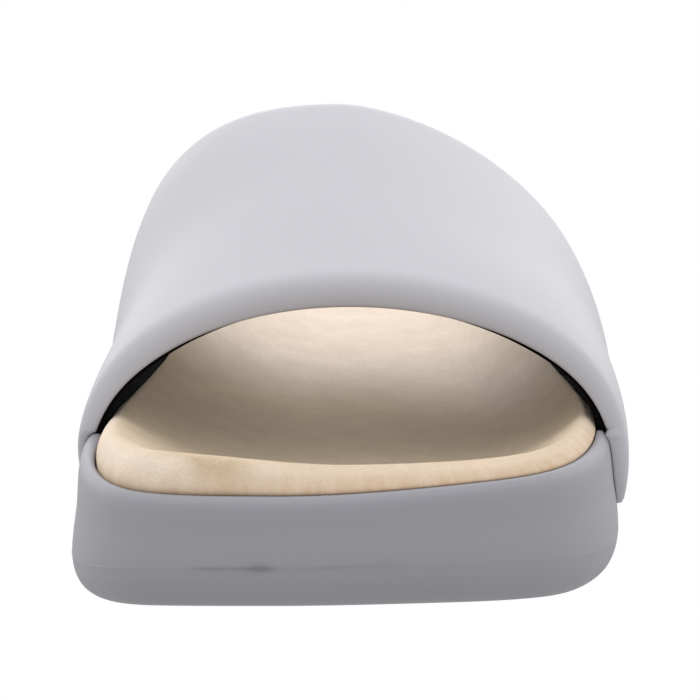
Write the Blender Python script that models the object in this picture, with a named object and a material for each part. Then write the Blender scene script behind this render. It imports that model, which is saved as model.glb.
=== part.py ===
"""Slide sandal for the left foot: a moulded sole, a moulded strap as its upper, and a contoured footbed.

Metres, +Z up. The toe points along -Y and the big toe lies towards -X.
The origin is on the floor, under the middle of the sandal's box.
Along is measured from the toe tip to the heel. Across is measured from the sole's middle line, and it is
negative on the big toe's side, the medial side.
"""

import math

import bmesh
import bpy
import numpy as np

MM = 0.001

# Driving sizes
SOLE_LENGTH = 275 * MM
BALL_WIDTH = 113.5 * MM
GAP = 0.3 * MM
PARTING_LIFT = 8 * MM
BOX_MIDDLE_ACROSS = 0.68 * MM

# How finely the solids are cut
SIDE_STEPS = 52
FINE_SIDE_STEPS = 240
SPLINE_STEPS = 60
CURVE_STEPS = 100
ARCH_STEPS = 13
BAND_STEPS = 9
SHARP_EDGE = math.radians(40)
MERGE_DISTANCE = 0.001 * MM

# The widest outline of the sole. Across is a share of the ball width, along a share of the sole length.
PLAN = (
    ("place", "across", "along"),
    ("toe tip", -0.176, 0.000),
    ("big toe corner", -0.412, 0.023),
    ("big toe side", -0.497, 0.098),
    ("medial ball", -0.488, 0.235),
    ("medial waist front", -0.455, 0.390),
    ("medial waist", -0.400, 0.550),
    ("medial heel front", -0.366, 0.720),
    ("medial heel", -0.338, 0.860),
    ("medial heel corner", -0.228, 0.967),
    ("heel tip", 0.006, 1.000),
    ("lateral heel corner", 0.240, 0.967),
    ("lateral heel", 0.348, 0.860),
    ("lateral heel front", 0.380, 0.720),
    ("lateral waist", 0.427, 0.550),
    ("lateral waist front", 0.476, 0.400),
    ("lateral ball", 0.496, 0.280),
    ("little toe", 0.475, 0.149),
    ("little toe corner", 0.382, 0.062),
    ("middle toes", 0.176, 0.013),
)
HEEL_TIP = 9

# Heights above the floor, in millimetres. The lateral lift raises the parting line and the rim at the little toe.
# The seat is the footbed's middle line. The crest is how far its rolled edge stands over the sole's rim, and the roll
# is that edge's width as a share. The powers say how late the seat rises to the crest on each side.
HEIGHTS = (
    ("along", "tread", "rim", "lateral lift", "pocket", "seat", "crest", "roll", "medial power", "lateral power"),
    (0, 6.0, 28.0, 1.5, 14.0, 22.0, 4.9, 1.15, 3.2, 3.2),
    (15, 3.0, 28.0, 1.5, 13.0, 22.0, 4.6, 0.85, 3.4, 3.4),
    (30, 1.2, 28.2, 1.2, 11.5, 21.0, 4.3, 0.62, 4.2, 4.4),
    (50, 0.2, 29.0, 0.4, 10.5, 20.5, 4.2, 0.60, 4.8, 5.0),
    (65, 0.0, 30.0, 0.0, 10.5, 20.5, 3.9, 0.70, 4.6, 5.0),
    (110, 0.0, 33.0, 0.0, 11.5, 22.0, 3.4, 1.00, 3.2, 4.4),
    (150, 1.6, 37.0, 0.0, 13.5, 25.5, 3.6, 1.00, 2.6, 4.0),
    (180, 0.6, 40.0, 0.0, 15.0, 27.5, 4.0, 1.00, 2.4, 3.6),
    (195, 0.0, 41.5, 0.0, 15.5, 28.0, 4.0, 1.00, 2.4, 3.4),
    (250, 0.0, 45.0, 0.0, 16.5, 29.0, 4.0, 1.00, 2.6, 3.0),
    (275, 1.2, 46.0, 0.0, 16.5, 30.0, 4.0, 1.00, 2.6, 3.0),
)

# Across the sole, the lateral lift starts at the first of these and is full at the second.
LIFT_ACROSS = (-16 * MM, 29 * MM)

# Rings of the sole from its tread edge to its pocket. Outward is in millimetres from the widest outline.
# Level 0 is the tread, 1 the parting line, 2 the rim.
SOLE_RINGS = (
    ("ring", "outward", "level"),
    ("tread edge", -7.0, 0.00),
    ("tread round low", -3.6, 0.10),
    ("tread round middle", -1.4, 0.34),
    ("tread round high", -0.3, 0.68),
    ("parting line", 0.0, 1.00),
    ("parting step", -0.4, 1.02),
    ("wall", -1.0, 1.45),
    ("wall top", -1.8, 1.86),
    ("lip outside", -2.5, 1.96),
    ("lip top", -3.6, 2.00),
    ("lip inside", -4.7, 1.97),
    ("pocket top", -5.0, 1.90),
)
WALL_RINGS = ("parting step", "wall", "wall top", "lip outside")
POCKET_OUTWARD = -5.2 * MM
FLAT_SHARES = (0.0, 0.5, 1.0)

# Rings of the footbed's rolled edge. Level 2 is the sole's rim, 3 the crest of the roll.
FOOTBED_RINGS = (
    ("ring", "outward", "level"),
    ("crest", -12.5, 3.00),
    ("roll inside", -9.6, 2.92),
    ("roll top", -7.2, 2.66),
    ("roll outside", -5.6, 2.26),
    ("roll foot", -5.4, 1.95),
)
SEAT_SHARES = (0.0, 0.22, 0.42, 0.6, 0.74, 0.86, 0.94)
SPINE_ENDS = (60 * MM, 232 * MM)

# The strap's outer arch, in millimetres. Each side is one cubic from its foot to the instep. Its lower handle
# leans out by the bulge and rises by the share called up, and its upper handle reaches out by the share called over.
ARCH = (
    (
        "along", "instep across", "instep height",
        "medial bulge", "medial up", "medial over", "lateral bulge", "lateral up", "lateral over",
    ),
    (50, 0.0, 57.6, 6.0, 0.68, 0.66, 7.5, 0.77, 0.53),
    (62, 0.0, 61.8, 6.0, 0.68, 0.66, 7.5, 0.77, 0.53),
    (95, -3.2, 74.1, 4.3, 0.68, 0.61, 7.8, 0.78, 0.44),
    (131, -2.8, 86.9, 7.7, 0.82, 0.55, 15.1, 0.69, 0.28),
    (145, -2.8, 89.9, 7.7, 0.82, 0.55, 15.1, 0.69, 0.28),
)
FOOT_STAND_OUT = {"medial": 0.5 * MM, "lateral": 1.4 * MM}
FOOT_LEVEL = 1.06
LIP_LEVEL = 1.96

# The strap from its medial foot over the instep to its lateral foot, in millimetres. Way is a share of that path.
STRAP = (
    ("place", "way", "front along", "rear along", "front thickness", "rear thickness"),
    ("medial foot", 0.00, 66, 141, 3.5, 5.0),
    ("medial rim", 0.16, 59, 138, 3.5, 5.0),
    ("medial shoulder", 0.32, 61, 132, 4.9, 5.2),
    ("instep", 0.50, 64, 128, 5.5, 5.4),
    ("lateral shoulder", 0.68, 62, 132, 5.1, 5.4),
    ("lateral rim", 0.84, 61, 138, 4.1, 5.4),
    ("lateral foot", 1.00, 74, 141, 4.1, 5.4),
)
RIM_WAY = 0.16
INSTEP_WAY = 0.5
WALL_SHARES = (0.0, 0.31, 0.62, 0.83, 0.93)

# The bull-nosed edge of the strap's band, from its outer face over to its inner corner, as shares of its thickness.
EDGE_ROUND = (
    ("from inside", "stands out"),
    (0.94, 0.14),
    (0.74, 0.37),
    (0.40, 0.65),
    (0.12, 0.83),
    (0.00, 0.90),
)

# Colours and roughness of the two materials
GREY_FOAM = (0.60, 0.59, 0.62)
FOAM_ROUGHNESS = 0.6
CREAM_SUEDE = (0.80, 0.70, 0.57)
SUEDE_ROUGHNESS = 0.95


def column(table, name):
    """One column of a table as an array, found by the name at its top."""
    place = table[0].index(name)
    return np.array([row[place] for row in table[1:]], float)


def cubic(t, start, start_slope, end, end_slope):
    """The cubic that leaves start and reaches end with the given slopes, at t from 0 to 1."""
    return (
        start * (1 + 2 * t) * (1 - t) ** 2
        + start_slope * t * (1 - t) ** 2
        + end * t**2 * (3 - 2 * t)
        + end_slope * t**2 * (t - 1)
    )


def smooth_through(x, known_x, known_y):
    """A curve through the known points that never overshoots them, held flat past its ends."""
    steps = np.diff(known_x)
    slopes = np.diff(known_y) / steps
    before, after = slopes[:-1], slopes[1:]
    same_way = before * after > 0
    total = np.where(same_way, before + after, 1)
    tangents = np.concatenate([slopes[:1], np.where(same_way, 2 * before * after / total, 0), slopes[-1:]])
    x = np.clip(x, known_x[0], known_x[-1])
    i = np.clip(np.searchsorted(known_x, x) - 1, 0, len(steps) - 1)
    t = (x - known_x[i]) / steps[i]
    return cubic(t, known_y[i], tangents[i] * steps[i], known_y[i + 1], tangents[i + 1] * steps[i])


def height(name, along):
    """A column of HEIGHTS, in metres, at any place along the sole."""
    return smooth_through(along, column(HEIGHTS, "along") * MM, column(HEIGHTS, name) * MM)


def lateral_lift(across, along):
    """How far the parting line and the rim are raised: the lift along the sole times a smooth step across it."""
    start, end = LIFT_ACROSS
    return height("lateral lift", along) * cubic(np.clip((across - start) / (end - start), 0, 1), 0, 0, 1, 0)


def level_height(across, along, level):
    """Height of a level: 0 the tread, 1 the parting line, 2 the rim, 3 the crest of the footbed's roll."""
    lift = lateral_lift(across, along)
    tread, rim = height("tread", along), height("rim", along)
    marks = (tread, tread + PARTING_LIFT + lift, rim + lift, rim + height("crest", along))
    low = min(int(level), 2)
    return marks[low] + (marks[low + 1] - marks[low]) * (level - low)


def closed_spline_slopes(points, steps):
    """Slopes at the points of the smoothest closed cubic through them, for the given steps between them."""
    count = len(points)
    system = np.zeros((count, count))
    wanted = np.zeros((count, 2))
    for i in range(count):
        k = (i + 1) % count
        before, after = steps[i - 1], steps[i]
        system[i, i - 1] = after
        system[i, i] = 2 * (before + after)
        system[i, k] = before
        wanted[i] = 3 * (after / before * (points[i] - points[i - 1]) + before / after * (points[k] - points[i]))
    return np.linalg.solve(system, wanted)


def even_steps(line, steps):
    """The line cut into even steps."""
    length = np.concatenate([[0], np.cumsum(np.linalg.norm(np.diff(line, axis=0), axis=1))])
    wanted = np.linspace(0, length[-1], steps + 1)
    return np.stack([np.interp(wanted, length, line[:, axis]) for axis in (0, 1)], axis=1)


def outline(side_steps):
    """The widest outline, from the toe tip round the medial side to the heel tip and back round the lateral side.

    Both sides have the same number of even steps. It returns the points and the normals that point outwards.
    """
    points = np.stack([column(PLAN, "across") * BALL_WIDTH, column(PLAN, "along") * SOLE_LENGTH], axis=1)
    following = np.roll(points, -1, axis=0)
    steps = np.linalg.norm(following - points, axis=1)
    slopes = closed_spline_slopes(points, steps)
    t = np.linspace(0, 1, SPLINE_STEPS, endpoint=False)[:, None]
    pieces = [
        cubic(t, points[i], slopes[i] * steps[i], following[i], slopes[(i + 1) % len(points)] * steps[i])
        for i in range(len(points))
    ]
    medial = np.concatenate([*pieces[:HEEL_TIP], points[HEEL_TIP : HEEL_TIP + 1]])
    lateral = np.concatenate([*pieces[HEEL_TIP:], points[:1]])
    ring = np.concatenate([even_steps(side, side_steps)[:-1] for side in (medial, lateral)])
    ahead = np.roll(ring, -1, axis=0) - np.roll(ring, 1, axis=0)
    normals = np.stack([-ahead[:, 1], ahead[:, 0]], axis=1)
    return ring, normals / np.linalg.norm(normals, axis=1, keepdims=True)


def offset_ring(outward, side_steps=SIDE_STEPS):
    """The widest outline moved outwards, by one value or by a value for each of its points."""
    ring, normals = outline(side_steps)
    return ring + normals * np.reshape(outward, (-1, 1))


def edge_across(side, along, outward):
    """Where the outline, moved outwards, lies across the sole at places along one of its sides."""
    ring = offset_ring(outward, FINE_SIDE_STEPS)
    line = ring[: FINE_SIDE_STEPS + 1] if side == "medial" else ring[FINE_SIDE_STEPS:][::-1]
    return np.interp(along, line[:, 1], line[:, 0])


def spine_ring(outward):
    """For each point of a ring, the place on the sole's middle line that it closes on."""
    ring = offset_ring(outward)
    partner = ring[-np.arange(len(ring))]
    along = np.clip((ring[:, 1] + partner[:, 1]) / 2, *SPINE_ENDS)
    across = (edge_across("medial", along, outward) + edge_across("lateral", along, outward)) / 2
    return np.stack([across, along], axis=1)


def in_frame(across, along, heights):
    """Across, along and height as points of the part's frame."""
    return np.stack([across - BOX_MIDDLE_ACROSS, along - SOLE_LENGTH / 2, heights], axis=-1)


def level_ring(outward, level):
    """The outline moved outwards, at the height of a level."""
    across, along = offset_ring(outward).T
    return in_frame(across, along, level_height(across, along, level))


def roll_outward(outward):
    """How far out the points of one of the roll's rings lie: the share called roll widens it from its foot."""
    foot = column(FOOTBED_RINGS, "outward")[-1] * MM
    share = height("roll", outline(SIDE_STEPS)[0][:, 1]) / MM
    return foot + (outward - foot) * share


def flat_rings(outward, name, lift, shares):
    """Rings from the middle line to an edge, a lift over the height of that name."""
    edge, spine = offset_ring(outward), spine_ring(outward)
    rings = []
    for share in shares:
        across, along = (spine + (edge - spine) * share).T
        rings.append(in_frame(across, along, height(name, along) + lift))
    return rings


def sole_rings():
    """From the middle of the tread out, up the side, over the lip and down into the footbed's pocket."""
    tread_edge = column(SOLE_RINGS, "outward")[0] * MM
    tread = flat_rings(tread_edge, "tread", 0, FLAT_SHARES[:-1])
    side = [level_ring(outward * MM, level) for _, outward, level in SOLE_RINGS[1:]]
    pocket = flat_rings(POCKET_OUTWARD, "pocket", 0, FLAT_SHARES[::-1])
    return tread + side + pocket


def seat_rings():
    """The foot's seat, from its middle line to the crest: it rises to the crest as a power of the share."""
    outward = column(FOOTBED_RINGS, "outward")[0] * MM
    edge, spine = offset_ring(roll_outward(outward)), spine_ring(outward)
    crest = level_height(edge[:, 0], edge[:, 1], 3)
    medial = np.arange(len(edge)) <= SIDE_STEPS
    rings = []
    for share in SEAT_SHARES:
        across, along = (spine + (edge - spine) * share).T
        power = np.where(medial, height("medial power", along), height("lateral power", along)) / MM
        middle = height("seat", along)
        rings.append(in_frame(across, along, middle + (crest - middle) * share**power))
    return rings


def footbed_rings():
    """From the middle of the foot's seat out to its crest, over the rolled edge and back under the footbed."""
    roll = [level_ring(roll_outward(outward * MM), level) for _, outward, level in FOOTBED_RINGS[1:]]
    underside = flat_rings(POCKET_OUTWARD - GAP, "pocket", GAP, FLAT_SHARES[::-1])
    return seat_rings() + roll + underside


def wall_outward(level):
    """How far the sole's side wall lies out from the widest outline between its parting line and its lip."""
    rows = [row for row in SOLE_RINGS if row[0] in WALL_RINGS]
    wall = (SOLE_RINGS[0], *rows)
    return np.interp(level, column(wall, "level"), column(wall, "outward")) * MM


def bezier(start, start_handle, end_handle, end, t):
    """The cubic with those ends and handles."""
    handles = 3 * start_handle * t * (1 - t) ** 2 + 3 * end_handle * t**2 * (1 - t)
    return start * (1 - t) ** 3 + handles + end * t**3


def strap_at(name, way):
    """A column of STRAP, in metres, at any share of the way over it."""
    return smooth_through(way, column(STRAP, "way"), column(STRAP, name) * MM)


def arch_at(name, along, unit):
    """A column of ARCH, in the given unit, at any place along the sole."""
    return smooth_through(along, column(ARCH, "along") * MM, column(ARCH, name) * unit)


def strap_curve(side, along, t):
    """Across and height of the strap's outer face, from the foot of one side at t 0 to the instep at t 1."""
    outward = -1 if side == "medial" else 1
    foot_across = edge_across(side, along, FOOT_STAND_OUT[side])
    foot_height = level_height(foot_across, along, FOOT_LEVEL)
    instep_across = arch_at("instep across", along, MM)
    instep_height = arch_at("instep height", along, MM)
    low_across = foot_across + outward * arch_at(side + " bulge", along, MM)
    low_height = foot_height + (instep_height - foot_height) * arch_at(side + " up", along, 1)
    high_across = instep_across + (foot_across - instep_across) * arch_at(side + " over", along, 1)
    across = bezier(foot_across, low_across, high_across, instep_across, t)
    heights = bezier(foot_height, low_height, instep_height, instep_height, t)
    return across, heights


def rim_crossing(side, along):
    """The share t of the strap's curve at which it passes just over the sole's rim."""
    t = np.linspace(0, 1, CURVE_STEPS + 1)
    rim = height("rim", along) + GAP
    return np.array([np.interp(top, strap_curve(side, place, t)[1], t) for top, place in zip(rim, along)])


def side_of(way):
    """The side of the sandal that a way over the strap lies on."""
    return "medial" if way <= INSTEP_WAY else "lateral"


def near_foot(way):
    """The way from the nearer foot of the strap."""
    return min(way, 1 - way)


def foot_level(way):
    """The level on the sole's wall that the strap lies against, for a way below the sole's rim."""
    return FOOT_LEVEL + (LIP_LEVEL - FOOT_LEVEL) * near_foot(way) / RIM_WAY / WALL_SHARES[-1]


def wall_across(way, along):
    """Where a way below the rim lies against the sole's wall, with a gap."""
    return edge_across(side_of(way), along, wall_outward(foot_level(way)) + GAP)


def strap_ways():
    """Shares of the way over the strap, from its medial foot to its lateral foot."""
    wall = np.array(WALL_SHARES) * RIM_WAY
    arch = np.linspace(RIM_WAY, INSTEP_WAY, ARCH_STEPS + 1)
    half = np.concatenate([wall, arch])
    return np.concatenate([half, 1 - half[-2::-1]])


def strap_outer_face(ways):
    """A grid over the outer face: a row for each way over the strap, a column from the front edge to the rear."""
    rows = []
    for way in ways:
        side, near = side_of(way), near_foot(way)
        along = np.linspace(strap_at("front along", way), strap_at("rear along", way), BAND_STEPS + 1)
        crossing = rim_crossing(side, along)
        if near < RIM_WAY:
            t = crossing * near / RIM_WAY
        else:
            t = crossing + (1 - crossing) * (near - RIM_WAY) / (INSTEP_WAY - RIM_WAY)
        across, heights = strap_curve(side, along, t)
        rows.append(in_frame(across, along, heights))
    return np.array(rows)


def strap_inner_face(ways, outer):
    """The strap's thickness inside its outer face above the rim, and a gap from the sole's wall below it."""
    normal = np.cross(np.gradient(outer, axis=0), np.gradient(outer, axis=1))
    normal /= np.linalg.norm(normal, axis=2, keepdims=True)
    back_share = np.linspace(0, 1, BAND_STEPS + 1)
    front, rear = strap_at("front thickness", ways), strap_at("rear thickness", ways)
    thickness = front[:, None] + (rear - front)[:, None] * back_share
    inner = outer - normal * thickness[:, :, None]
    along = outer[:, :, 1] + SOLE_LENGTH / 2
    inner[:, :, 2] = np.maximum(inner[:, :, 2], height("rim", inner[:, :, 1] + SOLE_LENGTH / 2) + GAP)
    for row, way in enumerate(ways):
        if near_foot(way) < RIM_WAY:
            across = wall_across(way, along[row])
            inner[row] = in_frame(across, along[row], level_height(across, along[row], foot_level(way)))
    return inner


def strap_edge(inner, outer, out_of_edge):
    """The rounded edge of one section of the band, from its outer face to its inner face."""
    wall = outer - inner
    stand_out = out_of_edge / np.linalg.norm(out_of_edge) * np.linalg.norm(wall)
    shares = zip(column(EDGE_ROUND, "from inside"), column(EDGE_ROUND, "stands out"))
    return np.array([inner + wall * inside + stand_out * out for inside, out in shares])


def off_the_wall(ring, way):
    """A section of the strap's foot, moved out where its edges would lie in the sole's wall."""
    wall = wall_across(way, ring[:, 1] + SOLE_LENGTH / 2) - BOX_MIDDLE_ACROSS
    clear = np.minimum if side_of(way) == "medial" else np.maximum
    return np.column_stack([clear(ring[:, 0], wall), ring[:, 1:]])


def strap_rings():
    """A closed section of the band for each way over it: inner face, rear edge, outer face, front edge."""
    ways = strap_ways()
    outer = strap_outer_face(ways)
    inner = strap_inner_face(ways, outer)
    back = np.gradient(outer, axis=1)
    rings = []
    for row, way in enumerate(ways):
        rear = strap_edge(inner[row, -1], outer[row, -1], back[row, -1])
        front = strap_edge(inner[row, 0], outer[row, 0], -back[row, 0])
        ring = np.concatenate([inner[row], rear[::-1], outer[row][::-1], front])
        rings.append(off_the_wall(ring, way) if near_foot(way) < RIM_WAY else ring)
    return rings


def make_material(name, colour, roughness):
    material = bpy.data.materials.new(name)
    material.use_nodes = True
    shader = material.node_tree.nodes["Principled BSDF"]
    shader.inputs["Base Color"].default_value = (*colour, 1)
    shader.inputs["Roughness"].default_value = roughness
    shader.inputs["Metallic"].default_value = 0
    return material


def loft(name, rings, capped, collection, material):
    """A closed solid through rings of equal count. Its first and last ring close on a line, or are capped."""
    mesh = bmesh.new()
    layers = [[mesh.verts.new(point) for point in ring] for ring in rings]
    count = len(layers[0])
    for lower, upper in zip(layers, layers[1:]):
        for j in range(count):
            k = (j + 1) % count
            mesh.faces.new((lower[j], lower[k], upper[k], upper[j]))
    if capped:
        mesh.faces.new(layers[0])
        mesh.faces.new(layers[-1])
    bmesh.ops.remove_doubles(mesh, verts=mesh.verts, dist=MERGE_DISTANCE)
    bmesh.ops.recalc_face_normals(mesh, faces=mesh.faces)
    data = bpy.data.meshes.new(name)
    mesh.to_mesh(data)
    mesh.free()
    data.shade_smooth()
    data.set_sharp_from_angle(angle=SHARP_EDGE)
    data.materials.append(material)
    collection.objects.link(bpy.data.objects.new(name, data))


def main():
    for old in list(bpy.data.objects):
        bpy.data.objects.remove(old)
    collection = bpy.data.collections.new("slide_sandal")
    bpy.context.scene.collection.children.link(collection)
    foam = make_material("grey_moulded_foam", GREY_FOAM, FOAM_ROUGHNESS)
    suede = make_material("cream_suede", CREAM_SUEDE, SUEDE_ROUGHNESS)
    loft("sole", sole_rings(), False, collection, foam)
    loft("footbed", footbed_rings(), False, collection, suede)
    loft("strap", strap_rings(), True, collection, foam)


if __name__ == "__main__":
    main()
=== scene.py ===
# %% [markdown]
# # Dressing a slide sandal
#
# A slide is three things: a thick moulded sole, a soft insert that the foot stands on, and one wide strap.
# The solids are already made and packed. This lesson loads them as a fixed frame, then works out a much finer
# surface for each piece as arrays of points, and gives each surface the finish of its real material.

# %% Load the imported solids
import math

import bmesh
import bpy
import numpy as np
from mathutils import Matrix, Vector


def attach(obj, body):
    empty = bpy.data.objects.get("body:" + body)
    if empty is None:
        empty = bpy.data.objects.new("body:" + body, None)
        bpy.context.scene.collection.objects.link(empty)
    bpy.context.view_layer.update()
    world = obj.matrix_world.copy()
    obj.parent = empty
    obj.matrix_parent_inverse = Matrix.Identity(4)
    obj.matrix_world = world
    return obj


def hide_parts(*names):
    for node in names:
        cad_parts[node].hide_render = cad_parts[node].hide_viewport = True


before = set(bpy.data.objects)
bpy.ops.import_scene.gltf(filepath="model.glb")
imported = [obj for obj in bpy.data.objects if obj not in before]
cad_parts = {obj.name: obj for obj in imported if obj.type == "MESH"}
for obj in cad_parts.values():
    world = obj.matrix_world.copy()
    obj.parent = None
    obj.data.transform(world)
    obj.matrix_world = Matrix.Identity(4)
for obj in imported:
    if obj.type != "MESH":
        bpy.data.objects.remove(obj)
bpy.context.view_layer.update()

scene = bpy.context.scene

# %% [markdown]
# ## The sizes that shape every piece
#
# A shoemaker draws a sole from above as one outline, and from the side as a few lines that run from toe to
# heel. The same numbers shape all three pieces, so they come first, in millimetres. Along is counted from the
# toe tip, and across from the middle line, with the big toe's side, called medial, on the minus side.

# %% Sizes and tables
MM = 0.001
SOLE_LENGTH = 275 * MM
BALL_WIDTH = 113.5 * MM
BOX_MIDDLE_ACROSS = 0.68 * MM
PARTING_LIFT = 8.0 * MM
GAP = 0.3 * MM

# The outline seen from above, as shares of the ball width and of the sole length, from the toe tip round the
# medial side to the heel tip, and back along the lateral side.
MEDIAL_PLAN = (
    (-0.176, 0.000), (-0.412, 0.023), (-0.497, 0.098), (-0.488, 0.235), (-0.455, 0.390),
    (-0.400, 0.550), (-0.366, 0.720), (-0.338, 0.860), (-0.228, 0.967),
)
LATERAL_PLAN = (
    (0.006, 1.000), (0.240, 0.967), (0.348, 0.860), (0.380, 0.720), (0.427, 0.550),
    (0.476, 0.400), (0.496, 0.280), (0.475, 0.149), (0.382, 0.062), (0.176, 0.013),
)

# Lines seen from the side. The lateral lift raises the rim at the little toe. The seat is the insert's middle
# line. The crest is how far the insert's rolled edge stands over the sole's rim, and the raise lifts it
# further at the big toe's corner, where soft says how much rounder the cover lies. Roll is that edge's width
# as a share, and the gully sinks it beside the strap. Upright is how much straighter the medial wall stands
# than the profile. The two powers say how late the seat rises to the rolled edge on each side.
SIDE_LINES = {
    "along": (0, 15, 30, 50, 65, 110, 150, 180, 195, 250, 275),
    "tread": (6, 3, 1.2, 0.2, 0, 0, 1.6, 0.6, 0, 0, 1.2),
    "rim": (28, 28, 28.2, 29, 30, 33, 37, 40, 41.5, 45, 46),
    "pocket": (14, 13, 11.5, 10.5, 10.5, 11.5, 13.5, 15, 15.5, 16.5, 16.5),
    "seat": (22, 22, 21, 20.5, 20.5, 22, 25.5, 27.5, 28, 29, 30),
    "lateral lift": (1.5, 1.5, 1.2, 0.4, 0, 0, 0, 0, 0, 0, 0),
    "medial crest": (4.9, 4.6, 4.3, 3.6, 2.4, 0.5, 0.4, 2, 3, 4, 4),
    "medial raise": (3, 3, 2.8, 1.5, 0.4, 0, 0, 0, 0, 0, 0),
    "medial soft": (0.4, 0.8, 1, 1, 0.4, 0, 0, 0, 0, 0, 0),
    "lateral crest": (4.9, 4.6, 4.3, 3.8, 2.7, 0.7, 0.5, 2, 3, 4, 4),
    "roll": (1.15, 0.85, 0.62, 0.5, 0.36, 0.78, 0.92, 1, 1, 1, 1),
    "gully": (0, 0, 0, 0, 0.6, 3, 2.5, 0, 0, 0, 0),
    "upright": (0, 0, 0.2, 1.1, 1.6, 1.2, 0.5, 0, 0, 0, 0),
    "medial power": (3.2, 3.0, 2.9, 3.0, 3.4, 3.2, 2.6, 2.4, 2.4, 2.6, 2.6),
    "lateral power": (3.2, 3.2, 3.4, 3.6, 4.2, 4.4, 4, 3.6, 3.4, 3, 3),
}
print("sole", SOLE_LENGTH, "by", BALL_WIDTH, "m")


# %% [markdown]
# ## Smooth lines through few points
#
# A few measured points have to become smooth lines. For a height that must not dip between two equal values,
# a cubic whose slope at each point is the harmonic mean of its neighbours' slopes never overshoots. For the
# closed outline, a periodic cubic spline with continuous curvature gives the even sweep that a last maker's
# curve has.

# %% Two kinds of smooth line
def hermite(t, start, start_slope, end, end_slope):
    """The cubic that leaves start and reaches end with those slopes, as t goes from 0 to 1."""
    rise = start * (1 + 2 * t) * (1 - t) ** 2 + end * t**2 * (3 - 2 * t)
    return rise + start_slope * t * (1 - t) ** 2 + end_slope * t**2 * (t - 1)


def through(x, known_x, known_y):
    """A cubic through the known points, whose slope is the harmonic mean of the slopes beside each point."""
    known_x, known_y = np.asarray(known_x, float), np.asarray(known_y, float)
    steps = np.diff(known_x)
    slopes = np.diff(known_y) / steps
    before, after = slopes[:-1], slopes[1:]
    total = np.where(before * after > 0, before + after, 1)
    inner = np.where(before * after > 0, 2 * before * after / total, 0)
    tangents = np.concatenate([slopes[:1], inner, slopes[-1:]])
    x = np.clip(x, known_x[0], known_x[-1])
    i = np.clip(np.searchsorted(known_x, x) - 1, 0, len(steps) - 1)
    t = (x - known_x[i]) / steps[i]
    return hermite(t, known_y[i], tangents[i] * steps[i], known_y[i + 1], tangents[i + 1] * steps[i])


def side_line(name, along):
    """Height in metres of one of the lines seen from the side."""
    return through(along / MM, SIDE_LINES["along"], SIDE_LINES[name]) * MM


def closed_spline(points, steps_each):
    """The periodic cubic spline through the points: equal curvature beside each point fixes its slope."""
    ahead = np.roll(points, -1, axis=0)
    after = np.linalg.norm(ahead - points, axis=1)
    before = np.roll(after, 1)
    eye = np.eye(len(points))
    system = 2 * np.diag(before + after)
    system += after[:, None] * np.roll(eye, -1, axis=1) + before[:, None] * np.roll(eye, 1, axis=1)
    pull = (after / before)[:, None] * (points - np.roll(points, 1, axis=0))
    slopes = np.linalg.solve(system, 3 * (pull + (before / after)[:, None] * (ahead - points)))
    t = np.linspace(0, 1, steps_each, endpoint=False)[None, :, None]
    reach = after[:, None, None]
    leaving, arriving = slopes[:, None] * reach, np.roll(slopes, -1, axis=0)[:, None] * reach
    return hermite(t, points[:, None], leaving, ahead[:, None], arriving).reshape(-1, 2)


def even_steps(line, steps):
    """The same line, cut into steps of equal length."""
    length = np.concatenate([[0], np.cumsum(np.linalg.norm(np.diff(line, axis=0), axis=1))])
    wanted = np.linspace(0, length[-1], steps + 1)
    return np.stack([np.interp(wanted, length, line[:, axis]) for axis in (0, 1)], axis=1)


# %% The outline as a ring of points
RING_STEPS = 320
SPLINE_STEPS = 60
plan = np.array(MEDIAL_PLAN + LATERAL_PLAN) * (BALL_WIDTH, SOLE_LENGTH)
dense = closed_spline(plan, SPLINE_STEPS)
heel_at = len(MEDIAL_PLAN) * SPLINE_STEPS
medial_side = even_steps(dense[: heel_at + 1], RING_STEPS)
lateral_side = even_steps(np.concatenate([dense[heel_at:], dense[:1]]), RING_STEPS)
ring = np.concatenate([medial_side[:-1], lateral_side[:-1]])
tangent = np.roll(ring, -1, axis=0) - np.roll(ring, 1, axis=0)
outward_of = np.stack([-tangent[:, 1], tangent[:, 0]], axis=1)
outward_of /= np.linalg.norm(outward_of, axis=1, keepdims=True)
ring_length = np.linalg.norm(np.roll(ring, -1, axis=0) - ring, axis=1).sum()
print("outline", len(ring), "points,", round(ring_length, 3), "m round")


# %% Reading the outline
def moved_ring(outward):
    """The outline moved along its normals, by one value or by a value for each of its points."""
    return ring + outward_of * np.asarray(outward)[..., None]


def edge_across(side, along, outward):
    """Where the moved outline lies across the sole, at places along one of its sides."""
    line = moved_ring(outward)
    line = line[: RING_STEPS + 1] if side == "medial" else line[RING_STEPS:][::-1]
    return np.interp(along, line[:, 1], line[:, 0])


SPINE_ENDS = (60 * MM, 232 * MM)


def spine_of(outward):
    """For each point of a moved ring, its place on the middle line: halfway to the point across from it."""
    line = moved_ring(outward)
    along = np.clip((line[:, 1] + line[-np.arange(len(line)), 1]) / 2, *SPINE_ENDS)
    across = (edge_across("medial", along, outward) + edge_across("lateral", along, outward)) / 2
    return np.stack([across, along], axis=1)


# The lateral lift grows between these places across, and the tread takes a share of it. The medial raise is
# full at its own distance from the middle.
LIFT_ACROSS = (-16 * MM, 29 * MM)
RAISE_ACROSS = 42 * MM
TREAD_LIFT = 0.42


def smooth_step(share):
    """Zero below nought, one above one, and a smooth climb between."""
    share = np.clip(share, 0, 1)
    return share**2 * (3 - 2 * share)


def lateral_lift(flat):
    """The lift along the sole, times a smooth step across it from the middle to the little toe's side."""
    start, end = LIFT_ACROSS
    return side_line("lateral lift", flat[..., 1]) * smooth_step((flat[..., 0] - start) / (end - start))


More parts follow.
